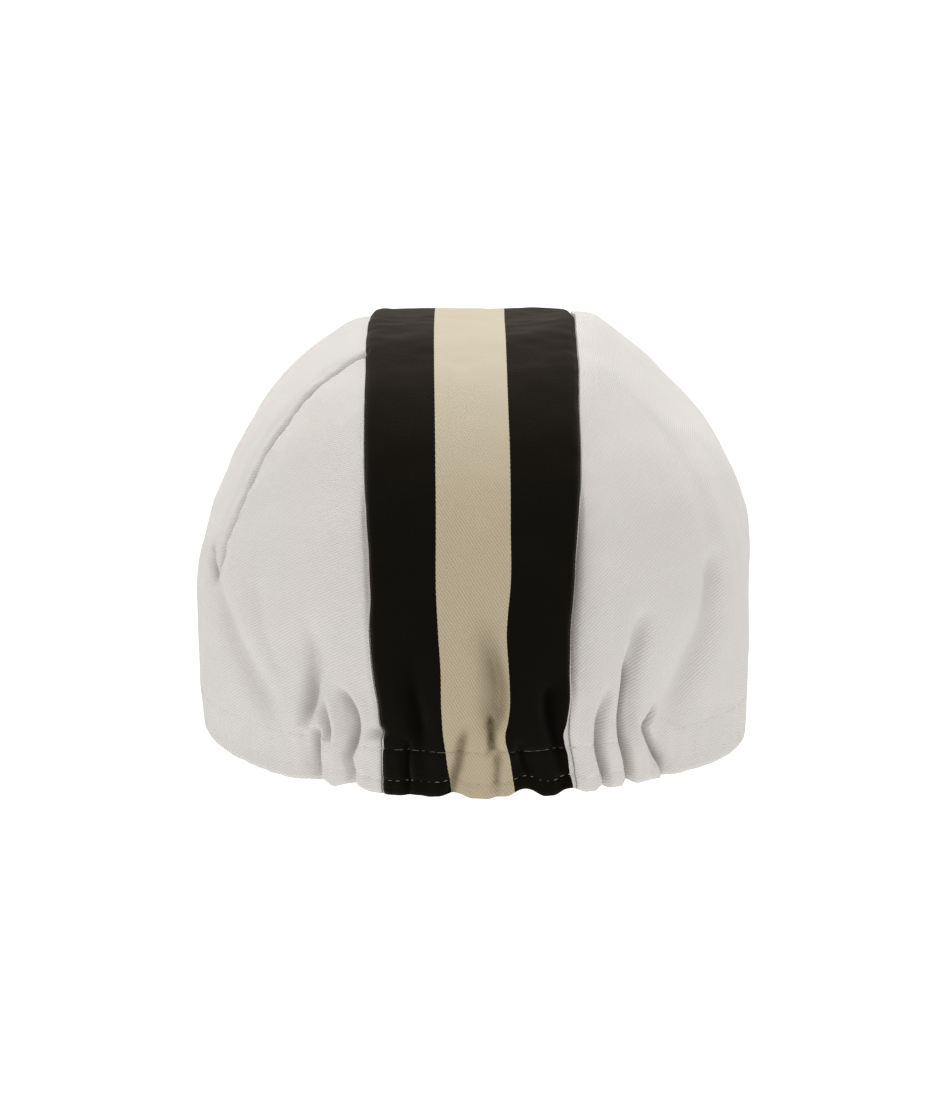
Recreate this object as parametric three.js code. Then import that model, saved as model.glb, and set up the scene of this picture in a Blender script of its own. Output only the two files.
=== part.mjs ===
import * as THREE from 'three';

// Cycling cap: three twill panels, a gathered hem at the rear and a short peak in front.
// Millimetres, +Z up, peak toward +Y. The rear hem and the peak's outer edge stand on z = 0.

// Driving sizes of the crown.
const HALF_WIDTH = 89.5;
const REAR_REACH = 98.5;
const FRONT_REACH = 101;
const CROWN_HEIGHT = 135;
const PANEL_HALF = 34;
const PANEL_PROUD = 1.4;
const FRONT_LIFT = 12.5;
const CLOTH = 1.2;
const CLEARANCE = 0.3;

// Hem: how deep the cloth is turned in, and how thick the turned cloth and its elastic are.
const HEM_DEPTH = 15;
const HEM_THICK = 2;
const HEM_RISE = 2;

// Peak: its reach ahead of the front hem, its thickness and the turn of its corners from the front.
const PEAK_REACH = 55;
const PEAK_THICK = 3;
const PEAK_CORNER = 60;
const CORNER_WIDTH = 4;

// Folds: the depth and half width that the shares in the table of folds refer to.
const FOLD_DEPTH = 3;
const FOLD_WIDTH = 5;

// Roundness of the crown: powers of its super-ellipses, 2 for an ellipse and more for squarer.
const ROUND_REAR = 2.35;
const ROUND_FRONT = 2.5;
const ROUND_HEM = 1.93;
const ROUND_TOP = 2.88;
const ROUND_PEAK = 2.6;

// Grid sizes of the walls.
const SIDE_STEPS = 38;
const HEM_STEPS = 2;
const RISE_STEPS = 18;
const PANEL_STEPS = 44;
const STRIPE_STEPS = 12;
const PEAK_STEPS = 30;
const REACH_STEPS = 6;

// Seams of the centre panel, from the rear hem over the top to the front hem. along is the share
// of that way, left and right are shares of PANEL_HALF.
const SEAMS = [
  { along: 0.0, left: 0.85, right: 0.90 },
  { along: 0.06, left: 0.865, right: 0.845 },
  { along: 0.16, left: 0.90, right: 0.875 },
  { along: 0.235, left: 0.945, right: 0.915 },
  { along: 0.32, left: 0.975, right: 0.95 },
  { along: 0.425, left: 1.0, right: 0.955 },
  { along: 0.6, left: 0.98, right: 0.96 },
  { along: 1.0, left: 0.88, right: 0.88 },
];

// Swellings of the side panels: height and spread are shares of CROWN_HEIGHT, swell is a share of
// the width there. side -1 is the wearer's left.
const SWELLINGS = [
  { side: -1, height: 0.43, spread: 0.21, swell: 0.022 },
  { side: -1, height: 0.82, spread: 0.13, swell: -0.03 },
  { side: 1, height: 0.57, spread: 0.22, swell: 0.042 },
  { side: 1, height: 0.86, spread: 0.12, swell: -0.024 },
];

// Folds. A route is read as turn, tilt and strength: turn is counted in degrees from the middle of
// the rear, plus to the wearer's right, and tilt up from a point inside the crown. before and after
// are the half widths on the sides of smaller and larger turn, depth goes inward. Widths and
// depths are shares of FOLD_WIDTH and FOLD_DEPTH.
const FOLDS = [
  {
    name: 'left dart', before: 0.7, after: 0.4, depth: 0.6,
    route: [[-44.5, 63, 0.4], [-49, 54.5, 1], [-56, 47, 1], [-58.5, 36, 1], [-60, 25, 1], [-61.5, 18, 1.7]],
  },
  {
    name: 'valley below the left dart', before: 1.3, after: 1.3, depth: 0.9,
    route: [[-62.5, 17, 1.2], [-56, 9, 1], [-49.5, 1.5, 1], [-40, -6.5, 0.3]],
  },
  {
    name: 'left crease', before: 0.8, after: 0.8, depth: 0.35,
    route: [[-47.5, 17.5, 0.3], [-43, 11.5, 1], [-38, 5.5, 0.4]],
  },
  {
    name: 'left valley beside the panel', before: 0.8, after: 0.8, depth: 0.7,
    route: [[-32, 12, 0.2], [-31.5, 6.5, 1], [-33, 0.5, 1.1], [-34.5, -5.5, 0.4]],
  },
  {
    name: 'left pocket', before: 0.7, after: 0.7, depth: 0.8,
    route: [[-28.5, -1, 0.3], [-28, -5, 1], [-28, -9, 0.5]],
  },
  {
    name: 'left crescent', before: 0.8, after: 0.8, depth: 0.8,
    route: [[-24.5, 1, 0.3], [-22, -4, 1], [-23.5, -10, 0.5]],
  },
  {
    name: 'left hem gather', before: 0.7, after: 0.7, depth: 1.1,
    route: [[-31, -8, 0.5], [-32, -18, 1]],
  },
  {
    name: 'right dart', before: 0.4, after: 0.7, depth: 0.6,
    route: [[41.5, 62.5, 0.4], [50, 58.5, 1], [54, 49, 1], [54.5, 38, 1], [56, 28, 1], [60.5, 18, 1.7]],
  },
  {
    name: 'valley below the right dart', before: 1.3, after: 1.3, depth: 0.9,
    route: [[56, 18, 1.2], [50, 9.5, 1], [44, 0.5, 1], [39.5, -7, 0.3]],
  },
  {
    name: 'right main fold', before: 0.7, after: 1.6, depth: 1.2,
    route: [[32.5, 13, 0.2], [29, 3, 0.9], [27.5, -5.5, 1.1], [29, -9.5, 0.9], [29.5, -18, 0.8]],
  },
  {
    name: 'right fold beside the panel', before: 0.8, after: 0.8, depth: 0.8,
    route: [[25, 0.5, 0.3], [22.5, -6, 1], [25, -18, 0.9]],
  },
  {
    name: 'right hem gather', before: 0.8, after: 0.8, depth: 0.8,
    route: [[36, -5.5, 0.3], [35, -9.5, 1], [40, -18, 0.9]],
  },
  {
    name: 'middle valley', before: 1.0, after: 1.0, depth: 0.6,
    route: [[1.5, 10, 0.2], [5, 2, 1], [3, -5.5, 1.1], [4.5, -18, 0.8]],
  },
  {
    name: 'middle hem gather', before: 0.7, after: 0.7, depth: 0.6,
    route: [[-2, -5, 0.3], [-3, -11, 1], [-4.5, -18, 1]],
  },
  {
    name: 'left stripe gather', before: 0.8, after: 0.8, depth: 0.5,
    route: [[-11.5, -4, 0.3], [-12, -18, 1]],
  },
  {
    name: 'right stripe gather', before: 0.8, after: 0.8, depth: 0.7,
    route: [[13.5, 1.5, 0.3], [14.5, -7, 1], [17, -18, 1]],
  },
];
const ROUTE_STEPS = 10;

// Where the elastic lifts the hem's edge: turn and spread in degrees, rise as a share of HEM_RISE.
const RISES = [
  { turn: -23.5, spread: 5.5, rise: 0.8 },
  { turn: -3.5, spread: 4, rise: 0.9 },
  { turn: 9, spread: 4, rise: 1.3 },
  { turn: 17, spread: 3.5, rise: 1.1 },
  { turn: 23.5, spread: 4, rise: 0.6 },
];

// The flat top of the centre panel, the closer rows at the ears, the pulled-in hem and the swelling
// above it, as shares, and where the hem starts to rise toward the front.
const FLAT_TOP = 0.3;
const TOP_START = 0.2;
const PROUD_EDGE = 0.25;
const EAR_ROWS = 0.42;
const SIDE_TUCK = 0.014;
const REAR_TUCK = { left: 0.022, middle: 0.022, right: 0.006 };
const REAR_SWELL = { height: 0.34, spread: 0.19, swell: 0.012 };
const FOLD_CENTRE = 0.225 * CROWN_HEIGHT;
const LIFT_START = -15;

const { smoothstep, degToRad, radToDeg, lerp, clamp } = THREE.MathUtils;

// A smooth value from a table, read at a share of the way along it.
function fromTable(rows, along, column) {
  const last = rows.length - 2;
  let row = 0;
  while (row < last && along > rows[row + 1].along) row += 1;
  const value = (index) => rows[clamp(index, 0, rows.length - 1)][column];
  const place = (index) => rows[clamp(index, 0, rows.length - 1)].along;
  const slope = (index) => (value(index + 1) - value(index - 1)) / (place(index + 1) - place(index - 1));
  const span = place(row + 1) - place(row);
  const t = (along - place(row)) / span;
  const bend = t * t * (3 - 2 * t);
  const leave = t * (1 - t) * (1 - t) * span * slope(row);
  const arrive = t * t * (t - 1) * span * slope(row + 1);
  return lerp(value(row), value(row + 1), bend) + leave + arrive;
}

// The crown before it is folded is swept by two angles. angle goes from the rear hem over the top
// to the front hem, and side from the middle out to the ear.
function profileRadius(angle) {
  const back = Math.cos(angle) > 0;
  const reach = back ? REAR_REACH : FRONT_REACH;
  const power = back ? ROUND_REAR : ROUND_FRONT;
  const level = Math.abs(Math.cos(angle)) / reach;
  const rise = Math.max(Math.sin(angle), 0) / CROWN_HEIGHT;
  return Math.pow(Math.pow(level, power) + Math.pow(rise, power), -1 / power);
}

function sidePower(angle) {
  return lerp(ROUND_HEM, ROUND_TOP, Math.sin(angle) ** 2);
}

function crownPoint(angle, side) {
  const power = sidePower(angle);
  const across = Math.abs(Math.sin(side));
  const up = Math.abs(Math.cos(side));
  const share = Math.pow(Math.pow(across, power) + Math.pow(up, power), -1 / power);
  const radius = profileRadius(angle) * share * up;
  return new THREE.Vector3(
    HALF_WIDTH * share * Math.sin(side),
    -radius * Math.cos(angle),
    radius * Math.max(Math.sin(angle), 0),
  );
}

// One on the unfolded crown, less inside it.
function crownField(point) {
  const angle = Math.atan2(Math.max(point.z, 0), -point.y);
  const power = sidePower(angle);
  const across = Math.pow(Math.abs(point.x) / HALF_WIDTH, power);
  return across + Math.pow(Math.hypot(point.y, point.z) / profileRadius(angle), power);
}

function crownNormal(point) {
  const reach = 0.0005 * HALF_WIDTH;
  const normal = new THREE.Vector3();
  for (const axis of ['x', 'y', 'z']) {
    const ahead = point.clone();
    const behind = point.clone();
    ahead[axis] += reach;
    behind[axis] -= reach;
    normal[axis] = crownField(ahead) - crownField(behind);
  }
  if (point.z < reach) normal.z = 0;
  return normal.normalize();
}

// The point of the unfolded crown that is seen from its inside at a turn and tilt in degrees.
function crownAt(turn, tilt) {
  const level = Math.cos(degToRad(tilt));
  const ray = new THREE.Vector3(
    Math.sin(degToRad(turn)) * level,
    -Math.cos(degToRad(turn)) * level,
    Math.sin(degToRad(tilt)),
  );
  const inside = new THREE.Vector3(0, 0, FOLD_CENTRE);
  let near = 0;
  let far = 2 * (CROWN_HEIGHT + REAR_REACH);
  for (let step = 0; step < 40; step += 1) {
    const middle = (near + far) / 2;
    const point = inside.clone().addScaledVector(ray, middle);
    if (crownField(point) < 1) near = middle;
    else far = middle;
  }
  return inside.addScaledVector(ray, near);
}

// Each fold's route as points on the crown, with its strength at each.
const routes = FOLDS.map((fold) => {
  const knots = fold.route.map(([turn, tilt, strength]) => new THREE.Vector3(turn, tilt, strength));
  const bend = new THREE.CatmullRomCurve3(knots, false, 'centripetal');
  const points = bend.getPoints(ROUTE_STEPS).map((knot) => ({
    place: crownAt(knot.x, knot.y),
    strength: knot.z,
  }));
  return { ...fold, points };
});

// How far the folds carry the cloth inward at a point of the unfolded crown.
function foldDepth(point, normal) {
  let depth = 0;
  for (const { points, before, after, depth: share } of routes) {
    let best = Infinity;
    let strength = 0;
    let width = before;
    for (let step = 1; step < points.length; step += 1) {
      const start = points[step - 1];
      const end = points[step];
      const way = end.place.clone().sub(start.place);
      const from = point.clone().sub(start.place);
      const t = clamp(from.dot(way) / way.lengthSq(), 0, 1);
      const off = from.addScaledVector(way, -t);
      if (off.length() < best) {
        best = off.length();
        strength = lerp(start.strength, end.strength, t);
        width = off.cross(way).dot(normal) > 0 ? before : after;
      }
    }
    depth += share * FOLD_DEPTH * strength * Math.exp(-((best / (width * FOLD_WIDTH)) ** 2));
  }
  return depth;
}

// How far the hem's edge is lifted at a point, fading out over the turned-in cloth.
function hemRise(point) {
  if (point.y > 0) return 0;
  const turn = radToDeg(Math.atan2(point.x, -point.y));
  const fade = 1 - smoothstep(point.z, 0, HEM_DEPTH);
  let share = 0;
  for (const { turn: centre, spread, rise } of RISES) {
    const off = Math.abs(turn - centre) / spread;
    if (off < 1) share += rise * (1 - off * off) ** 2;
  }
  return share * fade * HEM_RISE;
}

// The front hem is higher than the rear one, and the crown keeps its height.
function frontLift(y) {
  return FRONT_LIFT * smoothstep(y, LIFT_START, FRONT_REACH);
}

// The finished place of a point of the unfolded crown, offset outward from the folded cloth.
function settle(point, offset) {
  const normal = crownNormal(point);
  let width = 1;
  for (const { side, height, spread, swell } of SWELLINGS) {
    const off = (point.z / CROWN_HEIGHT - height) / spread;
    if (Math.sign(point.x) === side) width += swell * Math.exp(-off * off);
  }
  const behind = smoothstep(-point.y, 0, REAR_REACH / 2);
  const low = Math.exp(-((point.z / HEM_DEPTH) ** 2));
  const off = (point.z / CROWN_HEIGHT - REAR_SWELL.height) / REAR_SWELL.spread;
  const swell = REAR_SWELL.swell * Math.exp(-off * off);
  const lift = frontLift(point.y);
  const settled = new THREE.Vector3(
    point.x * (width - low * lerp(SIDE_TUCK, point.x < 0 ? REAR_TUCK.left : REAR_TUCK.right, behind)),
    point.y * (1 + behind * (swell - low * REAR_TUCK.middle)),
    lift + point.z * (CROWN_HEIGHT - lift) / CROWN_HEIGHT + hemRise(point),
  );
  return settled.addScaledVector(normal, offset - foldDepth(point, normal));
}

function seamX(angle, side) {
  const column = side < 0 ? 'left' : 'right';
  return side * PANEL_HALF * fromTable(SEAMS, angle / Math.PI, column);
}

function heightShare(angle, x) {
  const power = sidePower(angle);
  return Math.pow(1 - Math.pow(Math.abs(x) / HALF_WIDTH, power), 1 / power);
}

// A point of the centre panel, across 0 at its left seam and 1 at its right one. The panel is
// flatter than the crown on top, and stands a little proud of the side panels there.
function panelPoint(angle, across) {
  const left = seamX(angle, -1);
  const right = seamX(angle, 1);
  const x = lerp(left, right, across);
  const seamShare = lerp(heightShare(angle, left), heightShare(angle, right), across);
  const top = smoothstep(Math.sin(angle), TOP_START, 1);
  const share = lerp(seamShare, heightShare(angle, x), lerp(1, FLAT_TOP, top));
  const radius = profileRadius(angle) * share;
  const point = new THREE.Vector3(x, -radius * Math.cos(angle), radius * Math.max(Math.sin(angle), 0));
  const edge = Math.min(across, 1 - across);
  const proud = PANEL_PROUD * top * Math.sqrt(smoothstep(edge, 0, PROUD_EDGE));
  return { point, proud };
}

// A point of a side panel, u from the rear seam to the front one and v from the hem to the seam
// on top. The grid is a rectangle bent into a half disc, with even rows along the hem.
function sidePoint(side, u, v) {
  const even = lerp(EAR_ROWS, 1, u * u);
  const row = v * lerp(even, 1, v);
  const level = u * Math.sqrt(1 - row * row / 2);
  const rise = row * Math.sqrt(1 - u * u / 2);
  const angle = Math.atan2(rise, -level);
  const seam = Math.abs(seamX(angle, side)) + CLEARANCE;
  const power = sidePower(angle);
  const share = Math.pow(1 - Math.pow(seam / HALF_WIDTH, power), 1 / power);
  const seamAngle = Math.atan2(seam / HALF_WIDTH, share);
  const out = lerp(Math.PI / 2, seamAngle, Math.hypot(level, rise));
  return crownPoint(angle, side * out);
}

// Places along the rows of the grids: the turned-in hem has even rows of its own.
const hemTop = Math.atan2(HEM_DEPTH, REAR_REACH);
const sideRows = [];
for (let step = 0; step <= HEM_STEPS + RISE_STEPS; step += 1) {
  const hemRow = Math.SQRT2 * Math.sin(hemTop);
  const above = (step - HEM_STEPS) / RISE_STEPS;
  sideRows.push(step <= HEM_STEPS ? hemRow * step / HEM_STEPS : lerp(hemRow, 1, above));
}
const panelAngles = [];
for (let step = 0; step <= PANEL_STEPS; step += 1) {
  const above = (step - HEM_STEPS) / (PANEL_STEPS - 2 * HEM_STEPS);
  if (step < HEM_STEPS) panelAngles.push(hemTop * step / HEM_STEPS);
  else if (step > PANEL_STEPS - HEM_STEPS) {
    panelAngles.push(Math.PI - hemTop * (PANEL_STEPS - step) / HEM_STEPS);
  } else panelAngles.push(lerp(hemTop, Math.PI - hemTop, above));
}

// Each panel as a grid of unfolded points, with how far it stands proud. The columns run once round
// the hem in the same sense, so the hem band behind them is cut into the same triangles.
const panelGrid = panelAngles.map((angle) => {
  const row = [];
  for (let step = STRIPE_STEPS; step >= 0; step -= 1) row.push(panelPoint(angle, step / STRIPE_STEPS));
  return row;
});

function sideGrid(side) {
  return sideRows.map((v) => {
    const row = [];
    for (let step = 0; step <= SIDE_STEPS; step += 1) {
      const u = side * (1 - 2 * step / SIDE_STEPS);
      row.push({ point: sidePoint(side, u, v), proud: 0 });
    }
    return row;
  });
}

const settleGrid = (grid, offset) => grid.map((row) => (
  row.map(({ point, proud }) => settle(point, proud + offset))));

// A closed wall between two grids of the same size. A ring joins its last row to its first.
function wall(outer, inner, ring = false) {
  const rows = outer.length;
  const columns = outer[0].length;
  const lastRow = ring ? rows : rows - 1;
  const lastColumn = columns - 1;
  const at = (layer, row, column) => (layer * rows + (row % rows)) * columns + column;
  const faces = [];
  const quad = (a, b, c, d) => faces.push([a, b, c], [a, c, d]);
  for (let row = 0; row < lastRow; row += 1) {
    for (let column = 0; column < lastColumn; column += 1) {
      quad(at(0, row, column), at(0, row + 1, column), at(0, row + 1, column + 1), at(0, row, column + 1));
      quad(at(1, row, column), at(1, row, column + 1), at(1, row + 1, column + 1), at(1, row + 1, column));
    }
    quad(at(1, row, 0), at(1, row + 1, 0), at(0, row + 1, 0), at(0, row, 0));
    quad(at(0, row, lastColumn), at(0, row + 1, lastColumn), at(1, row + 1, lastColumn), at(1, row, lastColumn));
  }
  if (!ring) {
    for (let column = 0; column < lastColumn; column += 1) {
      quad(at(0, 0, column), at(0, 0, column + 1), at(1, 0, column + 1), at(1, 0, column));
      quad(at(1, lastRow, column), at(1, lastRow, column + 1), at(0, lastRow, column + 1), at(0, lastRow, column));
    }
  }
  return solid([...outer.flat(), ...inner.flat()], faces);
}

// A mesh of triangles whose faces look outward.
function solid(points, faces) {
  let volume = 0;
  for (const [a, b, c] of faces) volume += points[a].dot(points[b].clone().cross(points[c]));
  const index = faces.flatMap(([a, b, c]) => (volume > 0 ? [a, b, c] : [a, c, b]));
  const positions = points.flatMap((point) => point.toArray());
  const geometry = new THREE.BufferGeometry();
  geometry.setAttribute('position', new THREE.Float32BufferAttribute(positions, 3));
  geometry.setIndex(index);
  geometry.computeVertexNormals();
  return geometry;
}

const whiteTwill = { color: 0xdedad5, roughness: 0.9, metalness: 0 };
const printedTwill = { color: 0x1a1914, roughness: 0.85, metalness: 0 };

const cap = new THREE.Group();
cap.name = 'cycling_cap';

function add(name, geometry, finish) {
  const mesh = new THREE.Mesh(geometry, new THREE.MeshStandardMaterial(finish));
  mesh.name = name;
  cap.add(mesh);
}

// Side panels and centre panel: single cloth.
const leftGrid = sideGrid(-1);
const rightGrid = sideGrid(1);
const clothWall = (grid) => wall(settleGrid(grid, 0), settleGrid(grid, -CLOTH));
add('side_panel_left', clothWall(leftGrid), whiteTwill);
add('side_panel_right', clothWall(rightGrid), whiteTwill);
add('centre_panel', clothWall(panelGrid), printedTwill);

// Hem band: the turned-in cloth and elastic, once round behind the lowest rows of the panels.
function hemColumns() {
  const columns = [];
  const rowsOf = (grid, column) => grid.slice(0, HEM_STEPS + 1).map((row) => row[column]);
  for (let column = 0; column <= SIDE_STEPS; column += 1) columns.push(rowsOf(leftGrid, column));
  const front = panelGrid.toReversed();
  for (let column = STRIPE_STEPS - 1; column > 0; column -= 1) columns.push(rowsOf(front, column));
  for (let column = 0; column <= SIDE_STEPS; column += 1) columns.push(rowsOf(rightGrid, column));
  for (let column = 1; column < STRIPE_STEPS; column += 1) columns.push(rowsOf(panelGrid, column));
  return columns;
}
const hemGrid = hemColumns();
const behindCloth = -CLOTH - CLEARANCE;
const hemOuter = settleGrid(hemGrid, behindCloth);
const hemInner = settleGrid(hemGrid, behindCloth - HEM_THICK);
add('hem_band', wall(hemOuter, hemInner, true), whiteTwill);

// Peak: under the front hem, sloping down to an outer edge that lies on z = 0.
function hemPlace(turn, offset) {
  const low = crownAt(180 - turn, -radToDeg(Math.atan2(FOLD_CENTRE, FRONT_REACH)));
  const level = new THREE.Vector3(low.x, low.y, 0);
  level.multiplyScalar(1 / Math.pow(crownField(level), 1 / ROUND_HEM));
  return settle(level, offset);
}

function peakGrids() {
  const corner = hemPlace(PEAK_CORNER, 0);
  const halfSpan = corner.x + CORNER_WIDTH / 2;
  const start = corner.y - CORNER_WIDTH;
  const end = FRONT_REACH + PEAK_REACH;
  const power = 2 / ROUND_PEAK;
  const top = [];
  const under = [];
  for (let across = 0; across <= PEAK_STEPS; across += 1) {
    const share = 2 * across / PEAK_STEPS - 1;
    const inner = hemPlace(share * PEAK_CORNER, behindCloth - HEM_THICK);
    const swing = Math.PI / 2 * share;
    const outerX = Math.sign(share) * halfSpan * Math.abs(Math.sin(swing)) ** power;
    const outerY = lerp(start, end, Math.abs(Math.cos(swing)) ** power);
    const height = inner.z - CLEARANCE;
    const topRow = [];
    const underRow = [];
    for (let out = 0; out <= REACH_STEPS; out += 1) {
      const reach = out / REACH_STEPS;
      const z = lerp(height, PEAK_THICK, reach);
      topRow.push(new THREE.Vector3(lerp(inner.x, outerX, reach), lerp(inner.y, outerY, reach), z));
      underRow.push(topRow[out].clone().setZ(z - PEAK_THICK));
    }
    top.push(topRow);
    under.push(underRow);
  }
  return [top, under];
}
add('peak', wall(...peakGrids()), whiteTwill);

// The origin is the middle of the footprint, where the cap stands.
const box = new THREE.Box3().setFromObject(cap);
const middle = box.getCenter(new THREE.Vector3());
cap.position.set(-middle.x, -middle.y, -box.min.z);

export default cap;
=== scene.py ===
"""A cycling cap standing on its gathered rear hem, seen from behind.

Cloth is worked out in millimetres about the crown's own middle, and in_frame turns it into metres
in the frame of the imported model.
"""
import math

import bpy
import numpy as np
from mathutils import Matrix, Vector


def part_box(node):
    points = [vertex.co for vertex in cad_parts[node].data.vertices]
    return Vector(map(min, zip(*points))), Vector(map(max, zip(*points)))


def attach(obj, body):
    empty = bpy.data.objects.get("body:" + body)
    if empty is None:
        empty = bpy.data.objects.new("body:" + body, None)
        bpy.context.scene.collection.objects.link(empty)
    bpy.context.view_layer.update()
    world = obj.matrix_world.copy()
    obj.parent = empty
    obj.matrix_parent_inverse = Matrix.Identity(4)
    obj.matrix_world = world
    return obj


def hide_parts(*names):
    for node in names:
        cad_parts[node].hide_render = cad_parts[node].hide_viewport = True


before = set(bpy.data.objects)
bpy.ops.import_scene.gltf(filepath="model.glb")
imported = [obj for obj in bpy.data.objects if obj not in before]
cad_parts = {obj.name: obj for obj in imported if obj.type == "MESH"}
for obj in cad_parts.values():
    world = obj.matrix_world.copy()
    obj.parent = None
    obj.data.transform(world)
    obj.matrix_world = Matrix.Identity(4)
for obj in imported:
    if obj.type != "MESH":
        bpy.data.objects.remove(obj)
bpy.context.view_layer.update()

# Side panels. Two pieces of white cotton twill, each cut to a half dome. The left one is taken in by
# a sewn dart from the centre panel to a dimple at the side, where the right one swells softly. Below,
# the cloth hangs in valleys that the elastic of the rear hem draws together.
MILLIMETRE = 0.001
HALF_WIDTH = 89.5
REAR_REACH = 98.5
FRONT_REACH = 101.0
CROWN_HEIGHT = 135.0
FRONT_LIFT = 12.5
LIFT_START = -15.0
CLOTH = 1.2
HEM_DEPTH = 15.0
PEAK_REACH = 55.0
ROUND_REAR = 2.35
ROUND_FRONT = 2.5
ROUND_HEM = 1.93
ROUND_TOP = 2.88
SEAM_GAP = 0.06

peak_low, peak_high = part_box("peak")
CROWN_MIDDLE = Vector((
    (peak_low[0] + peak_high[0]) / 2,
    peak_high[1] - (FRONT_REACH + PEAK_REACH) * MILLIMETRE,
    0.0,
))

# Seams of the centre panel: share of the way from the rear hem over the top, and millimetres from
# the middle to the left and the right seam. Behind, both were measured in the photograph.
LEFT_SEAM = (
    (0, 29.3), (0.03, 29.3), (0.055, 29), (0.09, 29.6), (0.12, 30.8), (0.16, 31.6), (0.2, 31.7),
    (0.235, 32.6), (0.26, 33.7), (0.32, 35.2), (0.4, 34.7), (0.455, 34.3), (0.52, 33.2), (0.6, 33.1),
    (1, 29.9))
RIGHT_SEAM = (
    (0, 32.1), (0.02, 31.4), (0.033, 31.0), (0.045, 30.3), (0.064, 29.35), (0.078, 29.4), (0.1, 30.0),
    (0.13, 29.7), (0.16, 29.35), (0.2, 29.9), (0.225, 30.2), (0.258, 31.2), (0.29, 32.1), (0.325, 32.9),
    (0.362, 33.1), (0.4, 33.0), (0.455, 32.0), (0.52, 31.9), (0.6, 32.0), (1, 29.6))

# Swellings of the side panels: side, height and spread as shares of the crown's height, and swell
# as a share of the width.
SWELLINGS = (
    (-1, 0.43, 0.21, 0.022),
    (-1, 0.82, 0.13, -0.03),
    (-1, 0.64, 0.1, -0.014),
    (1, 0.57, 0.22, 0.042),
    (1, 0.86, 0.12, -0.024),
)
SIDE_TUCK = 0.014
REAR_TUCK = {"left": 0.022, "middle": 0.022, "right": 0.006}
REAR_SWELL = {"height": 0.34, "spread": 0.19, "swell": 0.012}
FOLD_CENTRE = 0.225 * CROWN_HEIGHT

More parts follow.
